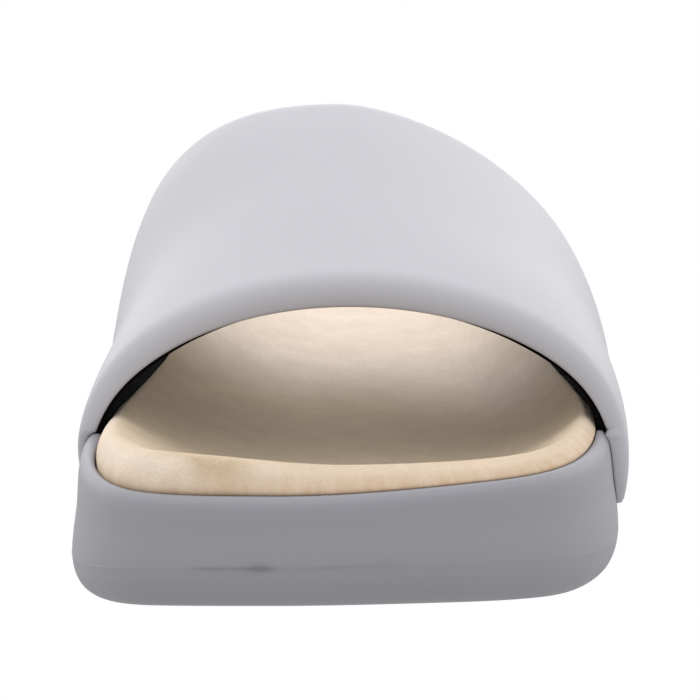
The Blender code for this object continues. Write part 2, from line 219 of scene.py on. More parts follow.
def level_height(flat, level):
    """Height of a level: 0 is the tread, 1 the parting line, 2 the sole's rim, 3 the crest of the roll."""
    along = flat[..., 1]
    tread, rim = side_line("tread", along), side_line("rim", along)
    low, wall, roll = (np.clip(level - start, 0, 1) for start in (0, 1, 2))
    lift = lateral_lift(flat) * (TREAD_LIFT + (1 - TREAD_LIFT) * low - roll)
    crest = np.where(flat[..., 0] < 0, side_line("medial crest", along), side_line("lateral crest", along))
    crest = crest + side_line("medial raise", along) * smooth_step(-flat[..., 0] / RAISE_ACROSS)
    return tread + PARTING_LIFT * low + (rim - tread - PARTING_LIFT) * wall + crest * roll + lift


def in_frame(flat, heights):
    """Across, along and height as points of the part's frame."""
    return np.stack([flat[..., 0] - BOX_MIDDLE_ACROSS, flat[..., 1] - SOLE_LENGTH / 2, heights], axis=-1)


# %% [markdown]
# ## From an array of points to a mesh
#
# Every surface here is a grid of rows and columns. The vertices are the grid itself, and a face joins each
# point to its neighbours. The columns may close on themselves, as round a sole. A UV map holds true lengths
# in metres along both directions, so that a pattern can follow the surface at its real scale.

# %% Grid to mesh
WELD_DISTANCE = 0.001 * MM


def grid_mesh(name, points, masks=None):
    """A smooth mesh over a grid whose columns close on themselves, welded where a row meets itself."""
    rows, columns = points.shape[:2]
    index = np.arange(rows * columns).reshape(rows, columns)
    beside = np.roll(index, -1, axis=1)
    faces = np.stack([index[:-1], beside[:-1], beside[1:], index[1:]], axis=-1).reshape(-1, 4)
    mesh = bpy.data.meshes.new(name)
    mesh.from_pydata(points.reshape(-1, 3), [], faces)
    closed = np.concatenate([points, points[:, :1]], axis=1)
    u = np.cumsum(np.linalg.norm(np.diff(closed, axis=1), axis=2), axis=1)[rows // 2]
    u = np.concatenate([[0], u])
    v = np.concatenate([[0], np.cumsum(np.linalg.norm(np.diff(points, axis=0), axis=2).mean(axis=1))])
    corner_u = np.stack([u[:-1], u[1:], u[1:], u[:-1]], axis=-1)
    corner_v = np.stack([v[:-1], v[:-1], v[1:], v[1:]], axis=-1)
    uv = np.empty((rows - 1, columns, 4, 2), np.float32)
    uv[..., 0] = corner_u[None]
    uv[..., 1] = corner_v[:, None]
    mesh.uv_layers.new(name="lengths").data.foreach_set("uv", uv.ravel())
    for mask_name, values in (masks or {}).items():
        layer = mesh.attributes.new(mask_name, "FLOAT", "POINT")
        layer.data.foreach_set("value", np.broadcast_to(values, (rows, columns)).astype(np.float32).ravel())
    work = bmesh.new()
    work.from_mesh(mesh)
    bmesh.ops.remove_doubles(work, verts=work.verts, dist=WELD_DISTANCE)
    bmesh.ops.recalc_face_normals(work, faces=work.faces)
    work.to_mesh(mesh)
    work.free()
    mesh.shade_smooth()
    return mesh


def piece_from(mesh, material, node=None):
    """Puts a mesh in the scene as a piece that rides on the sandal's one body."""
    piece = bpy.data.objects.new(mesh.name, mesh)
    scene.collection.objects.link(piece)
    mesh.materials.append(material)
    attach(piece, "root")
    if node:
        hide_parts(node)
    print(piece.name, len(mesh.polygons), "faces", [round(size / MM, 1) for size in piece.dimensions], "mm")


# Usual heights between the levels 0, 1, 2 and 3, in millimetres, for the length of a profile.
LEVEL_RISES = (9, 20, 5)


def along_profile(table, count):
    """A profile of outward and level, resampled at even steps along its length."""
    outward, level = np.array(table, float).T
    level_mm = sum(rise * np.clip(level - start, 0, 1) for start, rise in enumerate(LEVEL_RISES))
    length = np.concatenate([[0], np.cumsum(np.hypot(np.diff(outward), np.diff(level_mm)))])
    wanted = np.linspace(0, length[-1], count)
    return through(wanted, length, outward) * MM, through(wanted, length, level)


# %% [markdown]
# ## Finishes
#
# A finish is built from a few nodes: a colour that wanders a little, a roughness, and a fine bump. Colours
# are given as the screen shows them, so one function turns a hex value into the linear light that a shader
# expects. Sizes of grain are given in millimetres and turned into a texture scale, which counts repeats in a
# metre.

# %% Colour and node helpers
def linear(hex_colour):
    """An sRGB hex colour as linear red, green, blue and alpha."""
    shown = np.array([int(hex_colour[i : i + 2], 16) for i in (1, 3, 5)]) / 255
    light = np.where(shown <= 0.04045, shown / 12.92, ((shown + 0.055) / 1.055) ** 2.4)
    return (*light.tolist(), 1.0)


def add(tree, kind, values=None, **settings):
    """Adds one node, with its settings, and fills or links its inputs by name or number."""
    made = tree.nodes.new(kind)
    for name, value in settings.items():
        setattr(made, name, value)
    for key, value in (values or {}).items():
        if isinstance(value, bpy.types.NodeSocket):
            tree.links.new(value, made.inputs[key])
        else:
            made.inputs[key].default_value = value
    return made


def per_metre(size_mm):
    """Texture scale that repeats once in that many millimetres."""
    return 1 / (size_mm * MM)


def new_finish(name):
    """An empty node material with its shader and its Object coordinates."""
    material = bpy.data.materials.new(name)
    material.use_nodes = True
    tree = material.node_tree
    shader = tree.nodes["Principled BSDF"]
    place = add(tree, "ShaderNodeTexCoord").outputs["Object"]
    return material, tree, shader, place


# %% [markdown]
# ### Moulded foam
#
# The sole and the strap are injected polyurethane foam with a closed skin. The mould is lightly etched, so
# the skin is matt with a grain of about half a millimetre, and it scatters a soft, broad gleam at a glancing
# angle. The grey is cool. It is a little uneven, as foam is where it cools at different speeds, and hands and
# floors leave faint marks. The sole's grey is painted darker than the strap's, as painted shade for the weaker
# light low down.

# %% Foam finish
def foam_finish(name, tone, tone_low, rub):
    """Two greys mixed by slow clouds, darkened where the piece's rub mask says, under a fine etched grain."""
    material, tree, shader, place = new_finish(name)
    slow = {"Vector": place, "Scale": per_metre(28), "Detail": 3, "Roughness": 0.55}
    clouds = add(tree, "ShaderNodeTexNoise", slow)
    greys = {0: clouds.outputs["Fac"], 6: linear(tone_low), 7: linear(tone)}
    colour = add(tree, "ShaderNodeMix", greys, data_type="RGBA")
    mask = add(tree, "ShaderNodeAttribute", attribute_name="rub")
    marks = {0: mask.outputs["Fac"], 6: colour.outputs[2], 7: linear(rub)}
    rubbed = add(tree, "ShaderNodeMix", marks, data_type="RGBA")
    grain = add(tree, "ShaderNodeTexNoise", {"Vector": place, "Scale": per_metre(0.55), "Detail": 2})
    waves = add(tree, "ShaderNodeTexNoise", {"Vector": place, "Scale": per_metre(9), "Detail": 2})
    rough = add(tree, "ShaderNodeMapRange", {0: clouds.outputs["Fac"], 3: 0.5, 4: 0.62})
    swell = {"Height": waves.outputs["Fac"], "Strength": 0.25, "Distance": 0.12 * MM}
    soft = add(tree, "ShaderNodeBump", swell)
    etching = {"Height": grain.outputs["Fac"], "Strength": 0.35, "Distance": 0.06 * MM}
    fine = add(tree, "ShaderNodeBump", etching | {"Normal": soft.outputs["Normal"]})
    tree.links.new(rubbed.outputs[2], shader.inputs["Base Color"])
    tree.links.new(rough.outputs[0], shader.inputs["Roughness"])
    tree.links.new(fine.outputs["Normal"], shader.inputs["Normal"])
    shader.inputs["IOR"].default_value = 1.45
    return material


# The sole's darker grey is painted shade: the strap's foam drawn darker for the weaker light low down.
sole_foam_shaded = foam_finish("moulded_foam_sole_shaded", "#8B8A90", "#89888E", "#717075")
strap_foam = foam_finish("moulded_foam_strap", "#ABAAB0", "#A9A8AE", "#98979D")
print("finishes", sole_foam_shaded.name, strap_foam.name)

# %% [markdown]
# ### Suede
#
# The insert is covered in suede: the inner side of a hide, ground to a short nap. The nap lies this way and
# that, so the cream is cloudy over a few millimetres and flecked with fibres, and it catches a soft sheen at
# its edges. Where the hide is stretched over the rolled rim and tucked in, its warmer flesh colour shows and
# it puckers finely. Towards the roll's lower edge that colour is also painted darker, as painted shade where
# the roll meets the sole's lip.

# %% Suede finish
# Puckers run across the rolled rim, so their pattern is drawn out in that direction.
PUCKER_STRETCH = (1, 0.12, 1)


def suede_finish(name):
    """Cream mixed with a darker one by nap and fibres, darkened by painted shade and wear, warmed and shaded
    where tucked, under a napped bump.
    """
    material, tree, shader, place = new_finish(name)
    lengths = add(tree, "ShaderNodeUVMap", uv_map="lengths").outputs["UV"]
    cloudy = {"Vector": place, "Scale": per_metre(7), "Detail": 4, "Roughness": 0.6}
    nap = add(tree, "ShaderNodeTexNoise", cloudy)
    flecks = {"Vector": place, "Scale": per_metre(0.7), "Detail": 3, "Roughness": 0.7}
    fibre = add(tree, "ShaderNodeTexNoise", flecks)
    both = {0: nap.outputs["Fac"], 1: fibre.outputs["Fac"]}
    blend = add(tree, "ShaderNodeMath", both, operation="MULTIPLY")
    spread = add(tree, "ShaderNodeMapRange", {0: blend.outputs[0], 1: 0.1, 2: 0.42})
    creams = {0: spread.outputs[0], 6: linear("#CDBEB0"), 7: linear("#E0D2C4")}
    base_cream = add(tree, "ShaderNodeMix", creams, data_type="RGBA")
    # The darker tans are painted shade on the seat and the roll, and the colour of a few rubbed spots.
    tans = {0: spread.outputs[0], 6: linear("#A8957D"), 7: linear("#BCA98F")}
    shade_and_wear_tan = add(tree, "ShaderNodeMix", tans, data_type="RGBA")
    shade_and_wear = add(tree, "ShaderNodeAttribute", attribute_name="shade_and_wear")
    shade_and_wear_blend = {0: shade_and_wear.outputs["Fac"], 6: base_cream.outputs[2], 7: shade_and_wear_tan.outputs[2]}
    cream = add(tree, "ShaderNodeMix", shade_and_wear_blend, data_type="RGBA")
    tuck_and_contact_shade = add(tree, "ShaderNodeAttribute", attribute_name="tuck_and_contact_shade")
    pleat_place = add(tree, "ShaderNodeVectorMath", {0: lengths, 1: PUCKER_STRETCH}, operation="MULTIPLY")
    puckers = {"Vector": pleat_place.outputs[0], "Scale": per_metre(2.2), "Detail": 3, "Roughness": 0.65}
    pleats = add(tree, "ShaderNodeTexNoise", puckers)
    pleat_spread = add(tree, "ShaderNodeMapRange", {0: pleats.outputs["Fac"], 1: 0.35, 2: 0.7, 3: 0.6, 4: 1.0})
    uneven = {0: tuck_and_contact_shade.outputs["Fac"], 1: pleat_spread.outputs[0]}
    amount = add(tree, "ShaderNodeMath", uneven, operation="MULTIPLY", use_clamp=True)
    # The tucked colour is the hide's warmer flesh side and also painted shade where the roll meets the sole's
    # lip.
    flesh_and_shade = {0: amount.outputs[0], 6: cream.outputs[2], 7: linear("#A98C6C")}
    warm_and_shaded = add(tree, "ShaderNodeMix", flesh_and_shade, data_type="RGBA")
    tucked_in = {0: pleats.outputs["Fac"], 1: tuck_and_contact_shade.outputs["Fac"]}
    pleat_height = add(tree, "ShaderNodeMath", tucked_in, operation="MULTIPLY")
    pleating = {"Height": pleat_height.outputs[0], "Strength": 0.35, "Distance": 0.5 * MM}
    folds = add(tree, "ShaderNodeBump", pleating)
    napping = {"Height": blend.outputs[0], "Strength": 0.5, "Distance": 0.25 * MM}
    napped = add(tree, "ShaderNodeBump", napping | {"Normal": folds.outputs["Normal"]})
    tree.links.new(warm_and_shaded.outputs[2], shader.inputs["Base Color"])
    tree.links.new(napped.outputs["Normal"], shader.inputs["Normal"])
    shader.inputs["Roughness"].default_value = 0.95
    shader.inputs["Specular IOR Level"].default_value = 0.2
    shader.inputs["Sheen Weight"].default_value = 0.35
    shader.inputs["Sheen Roughness"].default_value = 0.5
    shader.inputs["Sheen Tint"].default_value = linear("#FFF1DC")
    return material


suede = suede_finish("cream_suede")
print("finish", suede.name)

# %% [markdown]
# ### Knitted lining
#
# Inside the strap lies a thin black knit. It drinks up nearly all light, so the gap beside the foot reads as
# black. The knit's ribs are about a millimetre apart, and they are drawn by a wave on the lining's own
# lengths.

# %% Lining finish
KNIT_RIB = 1.0
# The wave node draws about this many bands to one repeat of its scale.
WAVE_BANDS = 3.1


def lining_finish(name):
    """Black yarn with a bump of crossing ribs a millimetre apart."""
    material, tree, shader, place = new_finish(name)
    lengths = add(tree, "ShaderNodeUVMap", uv_map="lengths").outputs["UV"]
    knit = {"Vector": lengths, "Scale": per_metre(KNIT_RIB * WAVE_BANDS), "Distortion": 1.0}
    ribs = add(tree, "ShaderNodeTexWave", knit)
    fuzz = add(tree, "ShaderNodeTexNoise", {"Vector": place, "Scale": per_metre(0.8), "Detail": 3})
    blacks = {0: fuzz.outputs["Fac"], 6: linear("#040202"), 7: linear("#0C0807")}
    colour = add(tree, "ShaderNodeMix", blacks, data_type="RGBA")
    height = add(tree, "ShaderNodeMath", {0: ribs.outputs["Fac"], 1: fuzz.outputs["Fac"]}, operation="ADD")
    bump = add(tree, "ShaderNodeBump", {"Height": height.outputs[0], "Strength": 0.5, "Distance": 0.2 * MM})
    tree.links.new(colour.outputs[2], shader.inputs["Base Color"])
    tree.links.new(bump.outputs["Normal"], shader.inputs["Normal"])
    shader.inputs["Roughness"].default_value = 0.9
    shader.inputs["Specular IOR Level"].default_value = 0.04
    return material


black_knit = lining_finish("black_knit_lining")
print("finish", black_knit.name)

# %% [markdown]
# ## The sole
#
# The sole is one profile carried round the outline: up from the tread's rounded edge, over the fine step
# where the two halves of the mould met, up the slightly leaning wall, over the lip and down into the pocket
# for the insert. The rim climbs towards the heel and the tread lifts at the toe, so each ring takes its
# heights from the lines of the side.

# %% Sole surface
# Outward in millimetres from the widest outline, and level.
SOLE_EDGE = ((-7.0, 0.00), (-5.2, 0.03), (-3.6, 0.10), (-1.4, 0.34), (-0.3, 0.68), (-0.04, 0.9))
SOLE_SEAM = ((0.0, 0.975), (0.03, 0.99), (0.05, 1.0), (0.03, 1.004), (-0.02, 1.01), (-0.02, 1.016))
SOLE_WALL = (
    (-0.02, 1.022), (-0.06, 1.07), (-0.3, 1.2), (-1.0, 1.47), (-1.75, 1.8), (-2.25, 1.9),
    (-3.0, 1.96), (-3.8, 1.995), (-4.5, 1.995), (-4.95, 1.95), (-5.0, 1.90),
)
SOLE_EDGE_ROWS = 26
SOLE_WALL_ROWS = 44
POCKET_OUTWARD = -5.2 * MM
# The mould left a fine flash at the parting line, clear at the big toe's side and faint elsewhere.
FAINT_FLASH = 0.3
FLASH_FROM = 3.2
FLASH_WIDTH = 10 * MM
# Scuffs at the parting line in front: across, half width and half height in millimetres, and strength.
SCUFFS = (
    (-18, 2.4, 0.8, 0.9), (-22, 7, 0.45, 0.55), (-29, 3, 0.4, 0.45), (-4, 8, 0.35, 0.35), (7, 3, 0.9, 0.2),
)
SCUFFS_END = 40 * MM
# The wall starts to stand upright at this level, and leans back again over this width of the lip.
UPRIGHT_FROM = 1.5
UPRIGHT_FADE = 3 * MM
# Shares of the way from the middle line to the edge, for the flat faces.
TREAD_SHARES = (0, 0.12, 0.3, 0.5, 0.7, 0.88)
POCKET_SHARES = (1, 0.7, 0)


def ring_fill(outward, shares):
    """Rings between the middle line and a moved outline: the spine plus a share of the way to the edge."""
    edge, spine = moved_ring(outward), spine_of(outward)
    return spine + (edge - spine) * np.asarray(shares)[:, None, None]


def profile_rings(outward, level):
    """The profile's rings: each moves the outline outwards and takes its level's height."""
    flat = moved_ring(outward.reshape(len(level), -1))
    return in_frame(flat, level_height(flat, level[:, None]))


def upright(flat, outward, level):
    """How far the medial wall stands out from its profile: growing upwards, and fading over the lip."""
    rise = np.clip((level - UPRIGHT_FROM) / (2 - UPRIGHT_FROM), 0, 1)
    rise = rise * np.clip((outward - POCKET_OUTWARD) / UPRIGHT_FADE, 0, 1)
    return np.where(flat[..., 0] < 0, side_line("upright", flat[..., 1]), 0) * rise


def sole_surface():
    """Tread from its middle line out, the edge and wall profile, then the pocket back to the middle line."""
    tread = ring_fill(SOLE_EDGE[0][0] * MM, TREAD_SHARES)
    pocket = ring_fill(POCKET_OUTWARD, POCKET_SHARES)
    edge = profile_rings(*along_profile(SOLE_EDGE, SOLE_EDGE_ROWS))
    seam_outward, seam_level = np.array(SOLE_SEAM).T
    flash = FAINT_FLASH + (1 - FAINT_FLASH) * smooth_step(-ring[:, 0] / FLASH_WIDTH - FLASH_FROM)
    seam = profile_rings(seam_outward[:, None] * flash * MM, seam_level)
    outward, level = along_profile(SOLE_WALL, SOLE_WALL_ROWS)
    wall = profile_rings(outward[:, None] + upright(ring, outward[:, None], level[:, None]), level)
    return np.concatenate([
        in_frame(tread, level_height(tread, 0.0)),
        edge,
        seam,
        wall,
        in_frame(pocket, side_line("pocket", pocket[..., 1])),
    ])


sole_points = sole_surface()
sole_flat = sole_points[..., :2] + np.array([BOX_MIDDLE_ACROSS, SOLE_LENGTH / 2])
off_line = (sole_points[..., 2] - level_height(sole_flat, 1.0)) / MM
rub = np.zeros(sole_points.shape[:2])
for across, half_width, half_height, strength in SCUFFS:
    off_middle = (sole_flat[..., 0] / MM - across) / half_width
    rub += strength * np.exp(-(off_middle**2) - (off_line / half_height) ** 2)
rub[sole_flat[..., 1] > SCUFFS_END] = 0
piece_from(grid_mesh("sole_skin", sole_points, {"rub": rub}), sole_foam_shaded, "sole")

# %% [markdown]
# ## The insert
#
# The insert is a foam footbed under suede. Its seat rises from a flat middle to a rolled edge as a power of
# the way out: a high power keeps the toe hollow flat and turns up late, a low one on the medial side makes
# the arch support. A short averaging along each line rounds the crest of the roll, as a soft cover does.

# %% Footbed surface
# Outward in millimetres from the widest outline, and level, from the crest over the roll into the pocket.
FOOTBED_ROLL = (
    (-12.5, 3.00), (-11.0, 2.98), (-9.6, 2.92), (-7.2, 2.66), (-5.4, 2.34),
    (-4.2, 2.14), (-3.8, 2.06), (-4.2, 2.0), (-5.2, 1.97),
)
ROLL_EDGE = -5.2 * MM
# The gully is full at this share of the way over the roll.
GULLY_SHARE = 0.35
SEAT_ROWS = 64
ROLL_ROWS = 26
UNDER_SHARES = (1, 0.6, 0)
# How many rows the cover rounds over, where it is firm and where it is soft.
ROUNDING_ROWS = 2.2
SOFT_ROWS = 5
# The seat's power changes from the lateral to the medial one over this width.
POWER_BLEND = 30 * MM


def rounded(rows, spread):
    """Averages rows with a bell-shaped weight, three spreads each way: rounds a crest, keeps both ends."""
    half = int(3 * spread)
    reach = np.arange(-half, half + 1)
    weights = np.exp(-0.5 * (reach / spread) ** 2)
    weights /= weights.sum()
    before, after = 2 * rows[:1] - rows[half:0:-1], 2 * rows[-1:] - rows[-2 : -half - 2 : -1]
    padded = np.concatenate([before, rows, after])
    return sum(w * padded[half + k : half + k + len(rows)] for k, w in zip(reach, weights))


def seat_and_roll():
    """Middle height plus the rise to the crest times a power of the share, then the roll's profile."""
    outward, level = along_profile(FOOTBED_ROLL, ROLL_ROWS)
    outward = ROLL_EDGE + (outward[:, None] - ROLL_EDGE) * side_line("roll", ring[:, 1]) / MM
    shares = np.linspace(0, 1, SEAT_ROWS, endpoint=False)
    flat = ring_fill(outward[0], shares)
    crest = level_height(moved_ring(outward[0]), 3.0)
    medial, lateral = (side_line(side + " power", flat[..., 1]) / MM for side in ("medial", "lateral"))
    power = lateral + (medial - lateral) * smooth_step(0.5 - flat[..., 0] / POWER_BLEND)
    middle = side_line("seat", flat[..., 1])
    seat = in_frame(flat, middle + (crest - middle) * shares[:, None] ** power)
    roll = profile_rings(outward, level)
    sunk = smooth_step(np.linspace(0, 1, ROLL_ROWS) / GULLY_SHARE)[:, None]
    roll[..., 2] -= side_line("gully", ring[:, 1]) * sunk
    rows = np.concatenate([seat, roll])
    firm, soft = rounded(rows, ROUNDING_ROWS), rounded(rows, SOFT_ROWS)
    corner = smooth_step(-ring[:, 0] / RAISE_ACROSS) * side_line("medial soft", ring[:, 1]) / MM
    return firm + (soft - firm) * corner[:, None]


def footbed_surface():
    """The seat and its roll, then the underside in the sole's pocket back to the middle line."""
    under = ring_fill(POCKET_OUTWARD - GAP, UNDER_SHARES)
    return np.concatenate([seat_and_roll(), in_frame(under, side_line("pocket", under[..., 1]) + GAP)])


# %% [markdown]
# ### Wear on the insert
#
# The seat is painted darker from the toes to under the strap, as painted shade, and less far back on the
# lateral side. The rolled rim is drawn a little darker, and a few soft rubbed spots are real wear. Each of
# these is a mask, a number at every point of the grid, which the finish reads by name.

# %% Footbed wear
# Three places across the toe, how steeply the tucked colour and its painted shade grow over the roll there,
# and how much darker the roll is drawn.
TOE_ACROSS = (-42, 0, 42)
TUCK_STEEPNESS = (2.6, 0.9, 0.8)
ROLL_DARKENING = (0.12, 0.36, 0.25)
# The painted shade on the seat fades out between these places along, sooner on the lateral side, and over the
# roll.
SHADE_ALONG = (112, 146)
LATERAL_LESS = 30
SHADE_BLEND_ROWS = 10
# Soft rubbed spots in millimetres: across, along and spread, and their strength.
STAINS = ((-29, 10, 4, 0.8), (-24, 8.5, 4, 0.5), (-36, 14, 3, 0.3))
footbed_points = footbed_surface()
tuck_and_contact_shade = np.zeros(footbed_points.shape[:2])
steepness = np.interp(ring[:, 0] / MM, TOE_ACROSS, TUCK_STEEPNESS)
# The flesh colour and its painted shade grow towards the roll's lower edge.
tuck_and_contact_shade[SEAT_ROWS : SEAT_ROWS + ROLL_ROWS] = np.linspace(0, 1, ROLL_ROWS)[:, None] ** steepness
place_along = (footbed_points[..., 1] + SOLE_LENGTH / 2) / MM
lateral_shade_shift = LATERAL_LESS * smooth_step((footbed_points[..., 0] + BOX_MIDDLE_ACROSS) / RAISE_ACROSS)
# Painted shade: the seat is drawn darker from the toes to under the strap.
painted_shade_front = 1 - np.interp(place_along + lateral_shade_shift, SHADE_ALONG, (0, 1))
on_seat = np.clip((SEAT_ROWS + SHADE_BLEND_ROWS - np.arange(len(footbed_points))) / SHADE_BLEND_ROWS, 0, 1)[:, None]
on_roll = np.interp(ring[:, 0] / MM, TOE_ACROSS, ROLL_DARKENING)
shade_and_wear = on_roll + (painted_shade_front - on_roll) * on_seat
for across, along, spread, strength in STAINS:
    off = np.hypot(footbed_points[..., 0] + BOX_MIDDLE_ACROSS - across * MM, place_along * MM - along * MM)
    shade_and_wear = shade_and_wear + strength * np.exp(-((off / (spread * MM)) ** 2))
masks = {"tuck_and_contact_shade": tuck_and_contact_shade, "shade_and_wear": shade_and_wear}
piece_from(grid_mesh("footbed_suede", footbed_points, masks), suede, "footbed")

# %% [markdown]
# ## The strap
#
# The strap is a wide band bent over the foot. Its outer face is one cubic on each side, from a foot on the
# sole's wall up to the instep, and the cubic's handles change from front to rear as the foot grows higher and
# narrower. The band's thickness is laid off inside that face, and both edges are rounded over.

# %% Strap tables
# The arch at places along the sole, in millimetres. Foot is how far it stands out from the widest outline.
# The lower handle leans out by the bulge and rises by the share called up, and the upper one reaches out by
# the share called over.
ARCH = {
    "along": (50, 62, 95, 131, 145),
    "instep across": (0, 0, -3.2, -2.8, -2.8),
    "instep height": (57.6, 61.8, 74.1, 86.5, 89.5),
    "medial foot": (0.2, 0.3, 0.2, 0.5, 0.4),
    "medial bulge": (6.3, 6.3, 3.6, 6.4, 6.4),
    "medial up": (0.7, 0.7, 0.64, 0.76, 0.76),
    "medial over": (0.675, 0.675, 0.6, 0.65, 0.65),
    "lateral foot": (0.85, 1.05, 1.9, 1.85, 1.25),
    "lateral bulge": (7.7, 7.7, 6.1, 13.3, 13.3),
    "lateral up": (0.77, 0.77, 0.73, 0.65, 0.65),
    "lateral over": (0.53, 0.53, 0.42, 0.31, 0.31),
}
# From the medial foot over the rim, the shoulder and the instep to the lateral foot. Front and rear are
# places along the sole, drawn in at both feet, which rounds their corners.
STRAP = {
    "way": (0, 0.02, 0.06, 0.16, 0.32, 0.5, 0.68, 0.84, 0.94, 0.98, 1),
    "front": (84, 72.5, 65.5, 59.5, 61, 64, 62, 61, 62, 64.3, 70),
    "rear": (132, 137.6, 139.6, 138, 132, 128, 132, 138, 139.6, 137.6, 132),
    "front thickness": (1.6, 1.8, 2.3, 3.7, 5.6, 5.9, 5.4, 3.7, 2.6, 1.6, 1.2),
    "rear thickness": (5, 5, 5, 5, 5.2, 5.4, 5.4, 5.4, 5.4, 5.4, 5.4),
}
STRAP_CLEAR = 0.06 * MM
# The part of the sole's wall that the strap's feet lie against.
LAPPED_WALL = SOLE_WALL[1:7]
# The lateral foot thins by this much over the first share of its cubic.
FOOT_TAPER = 0.4 * MM
TAPER_SHARE = 0.14
# The feet start at one level of the wall and reach the lip's level at this share of the way to the rim.
FOOT_LEVEL = 1.15
LIP_LEVEL = 1.96
LIP_SHARE = 0.93
RIM_WAY = 0.16
INSTEP_WAY = 0.5
WALL_ROWS = 26
ARCH_ROWS = 84
RIM_SAMPLES = 81
BAND_COLUMNS = 60
EDGE_COLUMNS = 22
# The bull-nosed edge, from the outer face over to the inner one: how deep in the wall, how far it stands out.
EDGE_NOSE = (
    (0, 0), (0.02, 0.2), (0.08, 0.42), (0.22, 0.64), (0.45, 0.83),
    (0.74, 0.95), (0.93, 0.98), (1, 0.92), (1, 0.5), (1, 0),
)


def strap_at(name, way):
    """A strap size in metres at a share of the way over the foot."""
    return through(way, STRAP["way"], STRAP[name]) * MM


def arch_at(name, along, unit):
    """A handle of the arch at a place along the sole."""
    return through(along / MM, ARCH["along"], ARCH[name]) * unit


def from_foot(ways):
    """The way from the nearer foot of the strap."""
    return np.minimum(ways, 1 - ways)


# %% Strap faces
def arch_curve(side, along, t):
    """The cubic with its foot on the wall, a lower handle leaning out, an upper one level with the top."""
    outward = -1 if side == "medial" else 1
    foot = edge_across(side, along, 0) + outward * arch_at(side + " foot", along, MM)
    foot_height = level_height(np.stack([foot, along], axis=-1), FOOT_LEVEL)
    instep, instep_height = arch_at("instep across", along, MM), arch_at("instep height", along, MM)
    low = foot + outward * arch_at(side + " bulge", along, MM)
    low_height = foot_height + (instep_height - foot_height) * arch_at(side + " up", along, 1)
    high = instep + (foot - instep) * arch_at(side + " over", along, 1)
    weights = ((1 - t) ** 3, 3 * t * (1 - t) ** 2, 3 * t**2 * (1 - t), t**3)
    across = sum(w * a for w, a in zip(weights, (foot, low, high, instep)))
    heights = sum(w * h for w, h in zip(weights, (foot_height, low_height, instep_height, instep_height)))
    if side == "lateral":
        across = across - FOOT_TAPER * np.clip(1 - t / TAPER_SHARE, 0, 1) ** 2
    return across, heights


def rim_crossing(side, along):
    """The share of the cubic where it passes the sole's rim, by counting the samples that lie below it."""
    t = np.linspace(0, 1, RIM_SAMPLES)
    heights = arch_curve(side, along[..., None], t)[1]
    rim = side_line("rim", along) + GAP
    upper = np.clip((heights < rim[..., None]).sum(axis=-1, keepdims=True), 1, len(t) - 1)
    above = np.take_along_axis(heights, upper, axis=-1)[..., 0]
    below = np.take_along_axis(heights, upper - 1, axis=-1)[..., 0]
    return (upper[..., 0] - 1 + (rim - below) / (above - below)) / (len(t) - 1)


def strap_outer(ways):
    """Outer face: the cubic's share runs from the foot to the rim, then from the rim to the instep."""
    near = from_foot(ways)[:, None]
    front, rear = strap_at("front", ways), strap_at("rear", ways)
    along = front[:, None] + (rear - front)[:, None] * np.linspace(0, 1, BAND_COLUMNS + 1)
    halves = []
    for side in ("medial", "lateral"):
        crossing = rim_crossing(side, along)
        upper = crossing + (1 - crossing) * (near - RIM_WAY) / (INSTEP_WAY - RIM_WAY)
        t = np.where(near < RIM_WAY, crossing * near / RIM_WAY, upper)
        across, heights = arch_curve(side, along, t)
        halves.append(in_frame(np.stack([across, along], axis=-1), heights))
    return np.where((ways <= INSTEP_WAY)[:, None, None], *halves)


def face_normals(points):
    """Normals of a grid, from its differences along both directions."""
    normal = np.cross(np.gradient(points, axis=0), np.gradient(points, axis=1))
    return normal / np.linalg.norm(normal, axis=2, keepdims=True)


def foot_level(way):
    """The level on the sole's wall that a way below the rim lies against."""
    return FOOT_LEVEL + (LIP_LEVEL - FOOT_LEVEL) * from_foot(way) / RIM_WAY / LIP_SHARE


def wall_across(way, along):
    """The sole's wall at a way below the rim, plus a hair."""
    wall_outward, wall_level = np.array(LAPPED_WALL).T
    outward = np.interp(foot_level(way), wall_level, wall_outward) * MM
    if way > INSTEP_WAY:
        return edge_across("lateral", along, outward + STRAP_CLEAR)
    flat = np.stack([edge_across("medial", along, outward + STRAP_CLEAR), along], axis=-1)
    return flat[..., 0] - upright(flat, outward, foot_level(way))


def strap_inner(ways, outer):
    """Inner face: the thickness laid off along the normals above the rim, a hair off the wall below it."""
    front, rear = strap_at("front thickness", ways), strap_at("rear thickness", ways)
    thickness = front[:, None] + (rear - front)[:, None] * np.linspace(0, 1, BAND_COLUMNS + 1)
    inner = outer - face_normals(outer) * thickness[..., None]
    rim = side_line("rim", inner[..., 1] + SOLE_LENGTH / 2) + GAP
    inner[..., 2] = np.maximum(inner[..., 2], rim)
    along = outer[..., 1] + SOLE_LENGTH / 2
    for row in np.flatnonzero(from_foot(ways) < RIM_WAY):
        flat = np.stack([wall_across(ways[row], along[row]), along[row]], axis=-1)
        inner[row] = in_frame(flat, level_height(flat, foot_level(ways[row])))
    return inner


# %% Strap surface
def nose(steps):
    """The bull nose at even steps along its length, without its two ends on the faces."""
    depth, out = np.array(EDGE_NOSE, float).T
    length = np.concatenate([[0], np.cumsum(np.hypot(np.diff(depth), np.diff(out)))])
    wanted = np.linspace(0, length[-1], steps + 2)[1:-1]
    return through(wanted, length, depth), through(wanted, length, out)


def standing_out(inner, outer, out_of_edge, most=np.inf):
    """The way out of an edge, as long as the wall is thick and at most as long as given."""
    unit = out_of_edge / np.linalg.norm(out_of_edge, axis=1, keepdims=True)
    return unit * np.minimum(np.linalg.norm(outer - inner, axis=1), most)[:, None]


